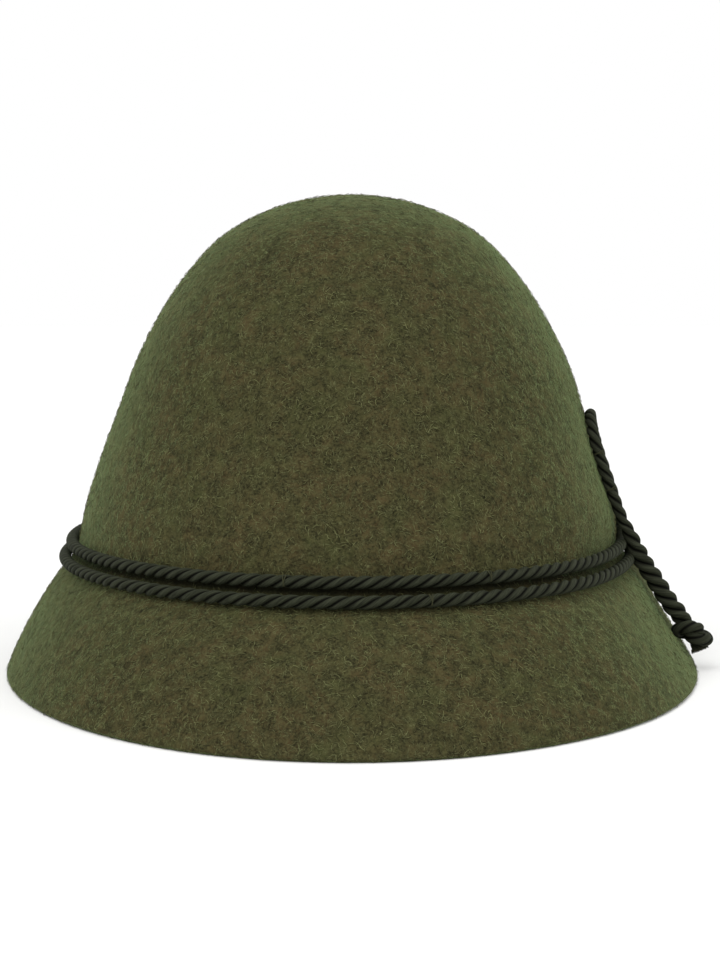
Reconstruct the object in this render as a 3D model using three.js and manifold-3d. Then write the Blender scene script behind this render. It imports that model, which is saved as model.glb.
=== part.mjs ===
// Tyrolean hat of wool felt with a doubled twisted cord, in millimetres.
// The front faces -Y, up is +Z, and the wearer's left is +X.
// The origin lies on the resting plane, under the middle of the brim.
import * as THREE from 'three';
import { LoftGeometry } from 'three/addons/geometries/LoftGeometry.js';
import { mergeVertices } from 'three/addons/utils/BufferGeometryUtils.js';
import Module from 'manifold-3d';

// Felt body, measured on the outside of the felt
const hatHeight = 142;
const bandHeight = 35.5;
const crownHalfWidth = 84;
const crownHalfLength = 101;
const brimHalfWidth = 105;
const brimHalfLength = 139;
const feltWall = 2.5;

// Cord
const cordDiameter = 3.8;
const tailDiameter = 4.2;
const bandCordRise = 4.5;
const clearance = 0.3;

// Standing loop and hanging tail, on the wearer's left. The loop's middle is
// measured from front to back.
const loopWidth = 30;
const loopHeight = 31.3;
const loopMiddle = -11;
const footRise = 1.65;
const tailDrop = 30;

// Knot at the tail's end, with the cut end below it
const knotWidth = 11.5;
const knotThickness = 8.6;
const knotLength = 10.4;

// Fineness of the faceted surfaces and of the searches along the profile
const columns = 60;
const brimRows = 4;
const footRows = 8;
const crownRows = 16;
const tipCapShare = 0.75;
const cordSides = 8;
const knotColumns = 16;
const loopSteps = 30;
const tailSteps = 14;
const halvings = 40;
const profileStep = 1e-3;
const fullTurn = 360;

const crownHeight = hatHeight - bandHeight;
const cordRadius = cordDiameter / 2;
const footReach = 2 * cordDiameter;
const onFelt = cordRadius + clearance;
const onCord = cordDiameter + clearance;

// Crown: up is a share of the crown's height, side and front are shares of
// its half width and half length at the foot.
const crownProfile = [
  { up: 0.00, side: 1.000, front: 1.000 },
  { up: 0.12, side: 0.966, front: 0.957 },
  { up: 0.25, side: 0.914, front: 0.895 },
  { up: 0.40, side: 0.843, front: 0.815 },
  { up: 0.55, side: 0.770, front: 0.735 },
  { up: 0.70, side: 0.666, front: 0.628 },
  { up: 0.80, side: 0.573, front: 0.535 },
  { up: 0.88, side: 0.473, front: 0.439 },
  { up: 0.94, side: 0.345, front: 0.318 },
  { up: 0.98, side: 0.205, front: 0.188 },
  { up: 1.00, side: 0.000, front: 0.000 },
];

// Brim: down is a share of the height of the crown's foot above the resting
// plane, out is a share of the brim's flare beyond the foot.
const brimProfile = [
  { down: 1.00, out: 1.00 },
  { down: 0.75, out: 0.81 },
  { down: 0.50, out: 0.58 },
  { down: 0.25, out: 0.31 },
];

// Dents: angle and spread in degrees round the hat, height and the two fades
// in shares of the foot's height, depth in shares of the felt's wall.
const dents = [
  { angle: -14, spread: 36, height: 0.78, fadeBelow: 0.98, fadeAbove: 0.70, depth: 1.45 },
  { angle: -8, spread: 34, height: 1.75, fadeBelow: 1.00, fadeAbove: 0.75, depth: 0.65 },
];

const wasm = await Module();
wasm.setup();

// A closed mesh as a solid that can be joined and cut.
function solidOf(geometry) {
  const bare = geometry.index ? geometry.toNonIndexed() : geometry.clone();
  bare.deleteAttribute('normal');
  bare.deleteAttribute('uv');
  const merged = mergeVertices(bare, 1e-3);
  return new wasm.Manifold(new wasm.Mesh({
    numProp: 3,
    vertProperties: merged.attributes.position.array,
    triVerts: new Uint32Array(merged.index.array),
  }));
}

function geometryOf(solid) {
  const mesh = solid.getMesh();
  const geometry = new THREE.BufferGeometry();
  geometry.setAttribute('position', new THREE.BufferAttribute(mesh.vertProperties, 3));
  geometry.setIndex(new THREE.BufferAttribute(mesh.triVerts, 1));
  geometry.computeVertexNormals();
  return geometry;
}

function buildProfile() {
  const sideFlare = brimHalfWidth - crownHalfWidth;
  const frontFlare = brimHalfLength - crownHalfLength;
  const brim = brimProfile.map((row) => new THREE.Vector3(
    crownHalfWidth + row.out * sideFlare,
    crownHalfLength + row.out * frontFlare,
    bandHeight * (1 - row.down),
  ));
  const crown = crownProfile.map((row) => new THREE.Vector3(
    row.side * crownHalfWidth,
    row.front * crownHalfLength,
    bandHeight + row.up * crownHeight,
  ));
  const rise = [...brim, ...crown];
  const fall = rise.slice(0, -1).reverse().map((p) => new THREE.Vector3(-p.x, -p.y, p.z));
  return new THREE.CatmullRomCurve3([...rise, ...fall], false, 'centripetal');
}

const profile = buildProfile();
const tip = 0.5;
const shoulderShare = 0.9;

// The place on the profile, from 0 at the brim's edge to 0.5 at the tip.
function placeAtHeight(height) {
  let low = 0;
  let high = tip;
  for (let i = 0; i < halvings; i += 1) {
    const middle = (low + high) / 2;
    if (profile.getPoint(middle).z < height) {
      low = middle;
    } else {
      high = middle;
    }
  }
  return (low + high) / 2;
}

// 1 at the middle of a dent, falling smoothly to 0 at its reach.
function fade(distance, reach) {
  const share = Math.min(Math.abs(distance) / reach, 1);
  return Math.cos(share * Math.PI / 2) ** 2;
}

function dentDepth(angle, height) {
  let depth = 0;
  for (const dent of dents) {
    const turn = THREE.MathUtils.euclideanModulo(
      THREE.MathUtils.radToDeg(angle) - dent.angle + fullTurn / 2, fullTurn) - fullTurn / 2;
    const above = height - dent.height * bandHeight;
    const reach = (above > 0 ? dent.fadeAbove : dent.fadeBelow) * bandHeight;
    depth += dent.depth * feltWall * fade(turn, dent.spread) * fade(above, reach);
  }
  return depth;
}

// A point on the outside of the felt.
function feltPoint(place, angle) {
  const p = profile.getPoint(place);
  const depth = dentDepth(angle, p.z);
  return new THREE.Vector3(
    (p.x - depth) * Math.cos(angle),
    (p.y - depth) * Math.sin(angle),
    p.z,
  );
}

function feltNormal(place, angle) {
  const before = Math.max(place - profileStep, 0);
  const up = feltPoint(place + profileStep, angle).sub(feltPoint(before, angle));
  const round = feltPoint(place, angle + profileStep).sub(
    feltPoint(place, angle - profileStep));
  return round.cross(up).normalize();
}

// A point at a height above the felt's outside, measured square to it.
function liftedPoint(place, angle, lift) {
  return feltPoint(place, angle).addScaledVector(feltNormal(place, angle), lift);
}

// The rows of the felt's mesh, closest together where the brim turns out.
function rowPlaces() {
  const footStart = placeAtHeight(bandHeight - footReach);
  const footEnd = placeAtHeight(bandHeight + footReach);
  const places = [];
  const addRows = (count, from, to, end = count) => {
    for (let i = 0; i < count; i += 1) {
      places.push(from + (to - from) * i / end);
    }
  };
  addRows(brimRows, 0, footStart);
  addRows(footRows, footStart, footEnd);
  addRows(crownRows, footEnd, tip, crownRows - tipCapShare);
  return places;
}

// A closed loft through level sections, from the brim's edge to the tip.
function feltLoft(lift) {
  const sections = rowPlaces().map((place) => {
    const section = [];
    for (let i = 0; i < columns; i += 1) {
      section.push(liftedPoint(place, i / columns * 2 * Math.PI, lift));
    }
    return section;
  });
  return new LoftGeometry(sections, { closed: true, capStart: true, capEnd: true });
}

// Crown and brim in one wall. The inner loft reaches a little below the
// resting plane, so it leaves the brim's edge flat.
function feltBodyGeometry() {
  return geometryOf(solidOf(feltLoft(0)).subtract(solidOf(feltLoft(-feltWall))));
}

// The place on the profile whose lifted point lies at a height.
function liftedPlaceAtHeight(angle, lift, height) {
  let low = 0;
  let high = tip * shoulderShare;
  for (let i = 0; i < halvings; i += 1) {
    const middle = (low + high) / 2;
    if (liftedPoint(middle, angle, lift).z < height) {
      low = middle;
    } else {
      high = middle;
    }
  }
  return (low + high) / 2;
}

// A closed ring of cord that lies against the felt at one height.
function bandCordGeometry(height) {
  const centres = [];
  for (let i = 0; i < columns; i += 1) {
    const angle = i / columns * 2 * Math.PI;
    centres.push(liftedPoint(liftedPlaceAtHeight(angle, onFelt, height), angle, onFelt));
  }
  const line = new THREE.CatmullRomCurve3(centres, true, 'centripetal');
  return new THREE.TubeGeometry(line, columns, cordRadius, cordSides, true);
}

// A point over the hat's left side, by how far back and how high it lies.
function sidePoint(back, height, lift) {
  const place = liftedPlaceAtHeight(0, lift, height);
  const halfLength = profile.getPoint(place).y;
  return liftedPoint(place, Math.asin(back / halfLength), lift);
}

// The cord's section, a regular polygon round its line.
function cordSection(diameter) {
  const corners = [];
  for (let i = 0; i < cordSides; i += 1) {
    const angle = i / cordSides * 2 * Math.PI;
    corners.push(new THREE.Vector2(Math.cos(angle), Math.sin(angle)).multiplyScalar(diameter / 2));
  }
  return new THREE.Shape(corners);
}

function openCordGeometry(points, steps, diameter) {
  return new THREE.ExtrudeGeometry(cordSection(diameter), {
    steps,
    extrudePath: new THREE.CatmullRomCurve3(points, false, 'centripetal'),
    bevelEnabled: false,
  });
}

// Route of the standing loop, up its front leg and down its rear one to the
// upper band cord: back is a share of its width from its middle, up is a share
// of its height, and off is its height off the felt in cords.
const loopRoute = [
  { back: -0.50, up: 0.00, off: 0.32 },
  { back: -0.52, up: 0.10, off: 0.13 },
  { back: -0.54, up: 0.20, off: 0.03 },
  { back: -0.55, up: 0.33, off: 0.00 },
  { back: -0.54, up: 0.48, off: 0.00 },
  { back: -0.51, up: 0.66, off: 0.00 },
  { back: -0.44, up: 0.82, off: 0.00 },
  { back: -0.29, up: 0.94, off: 0.00 },
  { back: -0.06, up: 1.00, off: 0.00 },
  { back: 0.18, up: 0.97, off: 0.00 },
  { back: 0.38, up: 0.88, off: 0.00 },
  { back: 0.49, up: 0.74, off: 0.00 },
  { back: 0.54, up: 0.58, off: 0.00 },
  { back: 0.55, up: 0.42, off: 0.00 },
  { back: 0.53, up: 0.27, off: 0.00 },
  { back: 0.48, up: 0.12, off: 0.00 },
  { back: 0.42, up: 0.00, off: 0.00 },
  { back: 0.39, up: -0.12, off: 0.00 },
];

// Route of the hanging tail: down is a share of its drop from the loop's foot,
// off is its height off the felt in cords, where 1 clears a cord underneath.
const tailRoute = [
  { down: 0.00, off: 0.36 },
  { down: 0.07, off: 0.62 },
  { down: 0.14, off: 0.92 },
  { down: 0.21, off: 1.09 },
  { down: 0.29, off: 1.06 },
  { down: 0.36, off: 0.95 },
  { down: 0.44, off: 0.74 },
  { down: 0.52, off: 0.65 },
  { down: 0.61, off: 0.63 },
  { down: 0.72, off: 0.60 },
  { down: 0.84, off: 0.57 },
  { down: 0.93, off: 0.61 },
  { down: 1.00, off: 0.63 },
];

const loopFoot = bandHeight + bandCordRise / 2 + footRise * onCord;
const tailBack = loopMiddle - loopWidth / 2;

function loopGeometry() {
  const points = loopRoute.map((row) => sidePoint(
    loopMiddle + row.back * loopWidth,
    loopFoot + row.up * loopHeight,
    onFelt + row.off * onCord,
  ));
  return openCordGeometry(points, loopSteps, cordDiameter);
}

function tailPoints() {
  return tailRoute.map((row) => sidePoint(
    tailBack,
    loopFoot - clearance - row.down * tailDrop,
    onFelt + row.off * onCord,
  ));
}

function tailGeometry() {
  return openCordGeometry(tailPoints(), tailSteps, tailDiameter);
}

// Sections of the knot, from the tail's end to the cut end: along is a share
// of its length, width and thickness are shares of its own, and slant is how
// far a section leans down away from the felt, a share of the thickness.
const knotSections = [
  { along: 0.00, width: 0.36, thickness: 0.46, slant: 0.00 },
  { along: 0.05, width: 0.74, thickness: 0.76, slant: 0.04 },
  { along: 0.17, width: 1.00, thickness: 0.98, slant: 0.10 },
  { along: 0.29, width: 0.99, thickness: 0.96, slant: 0.12 },
  { along: 0.38, width: 0.91, thickness: 0.86, slant: 0.12 },
  { along: 0.47, width: 0.99, thickness: 0.97, slant: 0.12 },
  { along: 0.61, width: 1.00, thickness: 1.00, slant: 0.10 },
  { along: 0.75, width: 0.80, thickness: 0.80, slant: 0.05 },
  { along: 0.82, width: 0.36, thickness: 0.46, slant: 0.00 },
  { along: 1.00, width: 0.36, thickness: 0.46, slant: 0.00 },
];

// The knot in its own frame: Z runs down along the tail, X points away from
// the felt and Y points to the hat's back.
function knotGeometry() {
  const sections = knotSections.map((row) => {
    const section = [];
    for (let i = 0; i < knotColumns; i += 1) {
      const angle = i / knotColumns * 2 * Math.PI;
      section.push(new THREE.Vector3(
        row.thickness * knotThickness / 2 * Math.cos(angle),
        row.width * knotWidth / 2 * Math.sin(angle),
        row.along * knotLength + row.slant * knotThickness * Math.cos(angle),
      ));
    }
    return section;
  });
  return new LoftGeometry(sections, { closed: true, capStart: true, capEnd: true });
}

// The knot hangs on the tail's line, its top one clearance past the end.
function placeKnot(knot) {
  const points = tailPoints();
  const end = points[points.length - 1];
  const down = end.clone().sub(points[points.length - 2]).normalize();
  const back = new THREE.Vector3(0, 1, 0);
  const away = back.clone().cross(down).normalize();
  knot.setRotationFromMatrix(new THREE.Matrix4().makeBasis(away, down.clone().cross(away), down));
  knot.position.copy(end.addScaledVector(down, clearance));
}

const felt = new THREE.MeshStandardMaterial({ color: 0x4b4a2c, roughness: 0.95, metalness: 0 });
const cord = new THREE.MeshStandardMaterial({ color: 0x27281d, roughness: 0.7, metalness: 0 });

const group = new THREE.Group();

function addPiece(name, geometry, material) {
  const piece = new THREE.Mesh(geometry, material);
  piece.name = name;
  group.add(piece);
  return piece;
}

addPiece('felt_body', feltBodyGeometry(), felt);
addPiece('band_cord_upper', bandCordGeometry(bandHeight + bandCordRise / 2), cord);
addPiece('band_cord_lower', bandCordGeometry(bandHeight - bandCordRise / 2), cord);
addPiece('side_loop', loopGeometry(), cord);
addPiece('tail_cord', tailGeometry(), cord);
placeKnot(addPiece('tail_knot', knotGeometry(), cord));

export default group;
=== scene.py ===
# %% [markdown]
# # A tyrolean hat
# This lesson dresses a felt hat that was drawn as plain solids. The solids
# come in as a frame that fixes every size and place, and each cell gives one
# piece its real surface: twisted cords, a tied knot, a soft felt wall and the
# loose fibres on it. Everything is in metres, +Z is up and the hat's front
# faces -Y.

# %% Load the frame
import math

import bpy
import numpy as np
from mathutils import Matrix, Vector


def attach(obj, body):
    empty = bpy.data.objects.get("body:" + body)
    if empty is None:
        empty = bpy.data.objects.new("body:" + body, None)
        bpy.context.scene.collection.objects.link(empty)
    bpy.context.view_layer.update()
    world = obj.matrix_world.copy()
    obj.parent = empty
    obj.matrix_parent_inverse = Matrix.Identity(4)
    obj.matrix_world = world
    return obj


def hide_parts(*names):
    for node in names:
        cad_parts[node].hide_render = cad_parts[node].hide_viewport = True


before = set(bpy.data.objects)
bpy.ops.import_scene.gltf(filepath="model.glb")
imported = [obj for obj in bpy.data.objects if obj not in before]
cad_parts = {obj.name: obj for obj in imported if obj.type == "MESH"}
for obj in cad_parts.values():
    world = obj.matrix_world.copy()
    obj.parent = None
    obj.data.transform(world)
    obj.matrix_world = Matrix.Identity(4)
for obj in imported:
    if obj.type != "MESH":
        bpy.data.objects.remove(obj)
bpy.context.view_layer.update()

scene = bpy.context.scene

# %% [markdown]
# ## The camera
# The camera comes first, because every choice of detail depends on how large
# a millimetre is in the picture. It stands a little above the band, a bit
# over half a metre in front of the hat, and looks down by a few degrees.

# %% Camera
CAMERA_PLACE = (0.0025, -0.580, 0.1115)
CAMERA_DOWN = math.radians(5.59)
CAMERA_LENS_MM = 70.65
SENSOR_MM = 36.0

camera_data = bpy.data.cameras.new("camera")
camera_data.lens = CAMERA_LENS_MM
camera_data.sensor_width = SENSOR_MM
camera_data.clip_start = 0.01
camera = bpy.data.objects.new("camera", camera_data)
camera.location = CAMERA_PLACE
camera.rotation_euler = (math.pi / 2 - CAMERA_DOWN, 0, 0)
scene.collection.objects.link(camera)
scene.camera = camera
print("camera at", CAMERA_PLACE)

# %% [markdown]
# ## The shape of the felt
# A felt hat is pulled over a wooden block, so its whole form is one smooth
# profile that is wider from front to back than from side to side. The same
# few rows that shaped the solid are repeated here, because the cords have to
# lie on that surface. The rows are joined by a centripetal Catmull-Rom curve,
# which passes through each of them without overshooting. The solid's two
# dents, where loop and tail press on the felt, are repeated as well. Two
# slight swellings are added, because the real brim is fuller on that side.

# %% Sizes and rows of the felt's profile
HAT_HEIGHT = 0.142
BAND_HEIGHT = 0.0355
CROWN_HALF_WIDTH = 0.084
CROWN_HALF_LENGTH = 0.101
BRIM_HALF_WIDTH = 0.105
BRIM_HALF_LENGTH = 0.139
FELT_WALL = 0.0025
CROWN_HEIGHT = HAT_HEIGHT - BAND_HEIGHT

# share of the crown's height, share of its half width, share of its half length
CROWN_ROWS = [
    (0.00, 1.000, 1.000), (0.12, 0.966, 0.957), (0.25, 0.914, 0.895),
    (0.40, 0.843, 0.815), (0.55, 0.770, 0.735), (0.70, 0.666, 0.628),
    (0.80, 0.573, 0.535), (0.88, 0.473, 0.439), (0.94, 0.345, 0.318),
    (0.98, 0.205, 0.188), (1.00, 0.000, 0.000),
]
# share of the way down from the crown's foot, share of the brim's flare
BRIM_ROWS = [(1.00, 1.00), (0.75, 0.81), (0.50, 0.58), (0.25, 0.31)]
# angle, spread in degrees; height, fade below, fade above in band heights; depth in walls,
# where a depth below 0 is a swelling
DENTS = [
    (-14, 36, 0.78, 0.98, 0.70, 1.45),
    (-8, 34, 1.75, 1.00, 0.75, 0.65),
    (-10, 34, 0.80, 0.40, 0.25, -0.68),
    (-34, 38, 0.00, 0.50, 0.45, -0.70),
]


# %% A smooth curve through rows of numbers
def curve_point(rows, place):
    """The point at a place from 0 to 1 of the centripetal curve through rows."""
    spans = len(rows) - 1
    along = place * spans
    i = min(int(along), spans - 1)
    w = along - i
    p1, p2 = rows[i], rows[i + 1]
    p0 = rows[i - 1] if i > 0 else 2 * rows[0] - rows[1]
    p3 = rows[i + 2] if i + 2 <= spans else 2 * rows[-1] - rows[-2]
    d0, d1, d2 = (math.sqrt(np.linalg.norm(b - a)) for a, b in ((p0, p1), (p1, p2), (p2, p3)))
    m1 = ((p1 - p0) / d0 - (p2 - p0) / (d0 + d1) + (p2 - p1) / d1) * d1
    m2 = ((p2 - p1) / d1 - (p3 - p1) / (d1 + d2) + (p3 - p2) / d2) * d1
    cubic = 2 * p1 - 2 * p2 + m1 + m2
    square = -3 * p1 + 3 * p2 - 2 * m1 - m2
    return ((cubic * w + square) * w + m1) * w + p1


def smooth_line(rows, steps_each):
    """Points along the curve, so many in each span."""
    rows = [np.array(row, float) for row in rows]
    count = (len(rows) - 1) * steps_each
    return np.array([curve_point(rows, i / count) for i in range(count + 1)])


# %% The felt's outside as a function of place and angle
TIP = 0.5
PROFILE_SAMPLES = 4000
SMALL_STEP = 1e-3
HALVINGS = 40


def profile_table():
    """Half width, half length and height at even places, a little past the tip."""
    flare = (BRIM_HALF_WIDTH - CROWN_HALF_WIDTH, BRIM_HALF_LENGTH - CROWN_HALF_LENGTH)
    rise = [
        np.array((CROWN_HALF_WIDTH + out * flare[0], CROWN_HALF_LENGTH + out * flare[1],
                  BAND_HEIGHT * (1 - down)))
        for down, out in BRIM_ROWS
    ] + [
        np.array((side * CROWN_HALF_WIDTH, front * CROWN_HALF_LENGTH, BAND_HEIGHT + up * CROWN_HEIGHT))
        for up, side, front in CROWN_ROWS
    ]
    fall = [row * (-1, -1, 1) for row in rise[-2::-1]]
    places = np.linspace(0, TIP + 0.01, PROFILE_SAMPLES)
    return places, np.array([curve_point(rise + fall, place) for place in places])


PLACES, PROFILE = profile_table()


def profile_at(place):
    return [np.interp(place, PLACES, PROFILE[:, k]) for k in range(3)]


def fade(distance, reach):
    return np.cos(np.minimum(np.abs(distance) / reach, 1) * math.pi / 2) ** 2


def dent_depth(angle, height):
    depth = 0
    for middle, spread, at, below, above, walls in DENTS:
        turn = (np.degrees(angle) - middle + 180) % 360 - 180
        over = height - at * BAND_HEIGHT
        reach = np.where(over > 0, above, below) * BAND_HEIGHT
        depth = depth + walls * FELT_WALL * fade(turn, spread) * fade(over, reach)
    return depth


def felt_point(place, angle):
    half_width, half_length, height = profile_at(place)
    depth = dent_depth(angle, height)
    x = (half_width - depth) * np.cos(angle)
    y = (half_length - depth) * np.sin(angle)
    return np.stack(np.broadcast_arrays(x, y, height), -1)


def lifted_point(place, angle, lift):
    """A point so far above the felt's outside, measured square to it."""
    up = felt_point(place + SMALL_STEP, angle) - felt_point(np.maximum(place - SMALL_STEP, 0), angle)
    onward = felt_point(place, angle + SMALL_STEP) - felt_point(place, angle - SMALL_STEP)
    normal = np.cross(onward, up)
    normal /= np.linalg.norm(normal, axis=-1, keepdims=True)
    return felt_point(place, angle) + normal * np.asarray(lift)[..., None]


def place_at_height(angle, lift, height):
    """The place whose lifted point lies at a height, found by halving."""
    low = np.zeros(np.broadcast(angle, lift, height).shape)
    high = low + 0.9 * TIP
    for _ in range(HALVINGS):
        middle = (low + high) / 2
        under = lifted_point(middle, angle, lift)[..., 2] < height
        low = np.where(under, middle, low)
        high = np.where(under, high, middle)
    return (low + high) / 2


print("profile tip at", np.round(felt_point(TIP, 0.0), 4))

# %% [markdown]
# ## Routes of the cords
# The trimming is one twisted cord. It lies twice round the foot of the crown,
# stands up in a loop against the crown on the wearer's left, comes down over
# both turns and hangs over the brim, where a knot keeps its end from
# unravelling. Only the hanging end is free. The routes are the ones of the
# solids, with the tail a little closer to the hat, because a fabric piece has
# to stay in the space that its solid holds.

# %% Cord sizes and routes
CORD = 0.0038
BAND_CORD_RISE = 0.0045
CLEARANCE = 0.0003
ON_FELT = CORD / 2 + CLEARANCE
ON_CORD = CORD + CLEARANCE
PRESSED = ON_FELT - 0.0004

LOOP_WIDTH = 0.030
LOOP_HEIGHT = 0.0313
LOOP_MIDDLE = -0.011
LOOP_FOOT = BAND_HEIGHT + BAND_CORD_RISE / 2 + 1.65 * ON_CORD
TAIL_DROP = 0.030
TAIL_BACK = LOOP_MIDDLE - LOOP_WIDTH / 2

# back in loop widths, up in loop heights, height off the felt in cords
LOOP_ROUTE = [
    (-0.50, 0.00, 0.32), (-0.52, 0.10, 0.13), (-0.54, 0.20, 0.03), (-0.55, 0.33, 0.00),
    (-0.54, 0.48, 0.00), (-0.51, 0.66, 0.00), (-0.44, 0.82, 0.00), (-0.29, 0.94, 0.00),
    (-0.06, 1.00, 0.00), (0.18, 0.97, 0.00), (0.38, 0.88, 0.00), (0.49, 0.74, 0.00),
    (0.54, 0.58, 0.00), (0.55, 0.42, 0.00), (0.53, 0.27, 0.00), (0.48, 0.12, 0.00),
    (0.42, 0.00, 0.00), (0.39, -0.12, 0.00),
]
# down in tail drops, height off the felt in cords
TAIL_ROUTE = [
    (0.00, 0.34), (0.07, 0.58), (0.14, 0.84), (0.21, 0.93), (0.29, 0.80), (0.36, 0.60),
    (0.44, 0.45), (0.52, 0.41), (0.61, 0.42), (0.72, 0.47), (0.84, 0.56), (0.93, 0.64),
    (1.00, 0.65),
]

# %% Points and lines on the hat's outside
BAND_POINTS = 1120
STEPS_EACH = 10


def side_point(back, height, lift):
    """A point over the hat's left side, by how far back and how high it lies."""
    place = place_at_height(0.0, lift, height)
    half_length = profile_at(place)[1]
    return lifted_point(place, np.arcsin(back / half_length), lift)


def band_line(height):
    """A ring that lies against the felt at one height, starting at the back."""
    angle = np.linspace(0, 2 * math.pi, BAND_POINTS, endpoint=False) + math.pi / 2
    return lifted_point(place_at_height(angle, ON_FELT, height), angle, ON_FELT)


def line_length(points):
    return float(np.linalg.norm(np.diff(points, axis=0), axis=1).sum())


# %% The middle lines of loop and tail
loop_line = smooth_line([
    side_point(LOOP_MIDDLE + back * LOOP_WIDTH, LOOP_FOOT + up * LOOP_HEIGHT, PRESSED + off * ON_CORD)
    for back, up, off in LOOP_ROUTE
], STEPS_EACH)
tail_line = smooth_line([
    side_point(TAIL_BACK, LOOP_FOOT - CLEARANCE - down * TAIL_DROP, ON_FELT + off * ON_CORD)
    for down, off in TAIL_ROUTE
], STEPS_EACH)
print("loop", round(line_length(loop_line), 4), "m, tail", round(line_length(tail_line), 4), "m")

# %% [markdown]
# ## The knot's own path
# A single overhand knot is easier to tie than to draw. The cord starts as a
# loose open pretzel given by three short polynomials. Then its two ends are
# held on one line while the cord between them is shortened step by step:
# neighbouring points keep their distance, points of different turns push
# each other apart when they come closer than a cord's thickness, and a little
# smoothing stands for the cord's stiffness. What is left is the tight knot.

# %% A loose knot
def loose_overhand(count):
    """An open overhand knot, with its ends up and down the z axis."""
    t = np.linspace(-2.15, 2.15, count)
    x = 3 * t - t ** 3
    y = t ** 4 - 4 * t ** 2 + 1.5
    z = t ** 5 - 10 * t
    return np.stack([x * 0.0020, y * 0.0016, z * 0.00055], -1)


def spaced(points, count):
    """The same line with its points evenly spaced."""
    run = np.concatenate([[0], np.cumsum(np.linalg.norm(np.diff(points, axis=0), axis=1))])
    even = np.linspace(0, run[-1], count)
    return np.stack([np.interp(even, run, points[:, k]) for k in range(points.shape[1])], -1)


# %% Tighten the knot
LOOSE_POINTS = 400
KNOT_POINTS = 90
KNOT_SPAN = 0.0096
KNOT_CORD = 0.00315
KNOT_TIGHT_LENGTH = 0.0415
# rounds of tightening, passes over the links in each, and the share of the rounds in which
# the cord gets shorter
ROUNDS = 2600
LINK_PASSES = 3
SHORTENING = 0.75
# shares of each miss that one round puts right: ends, bends, links and touching turns
END_PULL = 0.05
STIFFNESS = 0.10
LINK_PULL = 0.25
TOUCH_PUSH = 0.30
# how far apart along the cord two points have to be to push each other, in cords
OTHER_TURN = 1.6


def tighten(points, top, bottom, length, touch):
    """Shortens a knotted line, its ends held near two points, until it is that long."""
    points = spaced(points, KNOT_POINTS)
    start = line_length(points)
    near = np.abs(np.subtract.outer(np.arange(KNOT_POINTS), np.arange(KNOT_POINTS)))
    own = OTHER_TURN * touch
    for turn in range(ROUNDS):
        share = min(turn / (SHORTENING * ROUNDS), 1)
        link = (start + (length - start) * share) / (KNOT_POINTS - 1)
        points[0] += END_PULL * (top - points[0])
        points[-1] += END_PULL * (bottom - points[-1])
        points[1:-1] += STIFFNESS * (points[:-2] + points[2:] - 2 * points[1:-1])
        for _ in range(LINK_PASSES):
            step = np.diff(points, axis=0)
            size = np.linalg.norm(step, axis=1, keepdims=True)
            pull = LINK_PULL * step * (1 - link / size)
            points[:-1] += pull
            points[1:] -= pull
        gap = points[:, None] - points[None]
        size = np.linalg.norm(gap, axis=2) + 1e-9
        touching = (near * link > own) & (size < touch)
        push = np.where(touching, TOUCH_PUSH * (touch - size) / size, 0)
        points += (gap * push[..., None]).sum(1)
    return points


knot_shape = tighten(
    loose_overhand(LOOSE_POINTS), np.array((0, 0, -KNOT_SPAN / 2)), np.array((0, 0, KNOT_SPAN / 2)),
    KNOT_TIGHT_LENGTH, KNOT_CORD,
)
print("knot spans", np.round(np.ptp(knot_shape, axis=0) * 1000, 1), "mm")

# %% [markdown]
# ## One continuous cord with its lay
# Three yarns are twisted round each other, so every groove of the cord is a
# helix that climbs one full turn in about 12.6 mm. To keep the grooves
# continuous from the loop through the tail into the knot, the whole run is
# first one line. A direction square to the line is carried along it without
# twist, and then turned by the lay. The pieces are slices of that one run.

# %% Carry the lay along a line
LAY_LENGTH = 0.0126
RING_STEP = 0.0004
# any direction that no cord starts along
ASKEW = (0.3, 0.5, 0.8)


def directions(points, closed):
    """Unit tangents of a line."""
    if closed:
        run = np.roll(points, -1, axis=0) - np.roll(points, 1, axis=0)
    else:
        run = np.gradient(points, axis=0)
    return run / np.linalg.norm(run, axis=1, keepdims=True)


def carried(normal, before, after):
    """A direction turned as little as the tangent turns."""
    axis = np.cross(before, after)
    cosine = float(np.dot(before, after))
    return normal + np.cross(axis, normal) + np.cross(axis, np.cross(axis, normal)) / (1 + cosine)


def laid_directions(points, closed=False):
    """Directions square to the line that turn with the cord's lay, a left-hand one."""
    tangent = directions(points, closed)
    normal = np.cross(tangent[0], ASKEW)
    normal /= np.linalg.norm(normal)
    first = normal
    carried_on = [normal]
    for i in range(1, len(points)):
        normal = carried(normal, tangent[i - 1], tangent[i])
        carried_on.append(normal)
    carried_on = np.array(carried_on)
    step = np.linalg.norm(np.diff(points, axis=0), axis=1)
    run = np.concatenate([[0], np.cumsum(step)])
    turn = -2 * math.pi * run / LAY_LENGTH
    if closed:
        whole = run[-1] + np.linalg.norm(points[0] - points[-1])
        last = carried(normal, tangent[-1], tangent[0])
        slip = math.atan2(np.dot(np.cross(first, last), tangent[0]), np.dot(first, last))
        turns = round(whole / LAY_LENGTH)
        turn = -(2 * math.pi * turns + slip) * run / whole
    side = np.cross(tangent, carried_on)
    return run, carried_on * np.cos(turn)[:, None] + side * np.sin(turn)[:, None]


# %% The line that a cord is grown on
def point_values(mesh, name, values):
    """Stores a number or a direction for each point of a mesh."""
    values = np.asarray(values, float)
    kind, field = ("FLOAT_VECTOR", "vector") if values.ndim == 2 else ("FLOAT", "value")
    mesh.attributes.new(name, kind, "POINT").data.foreach_set(field, values.ravel())


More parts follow.
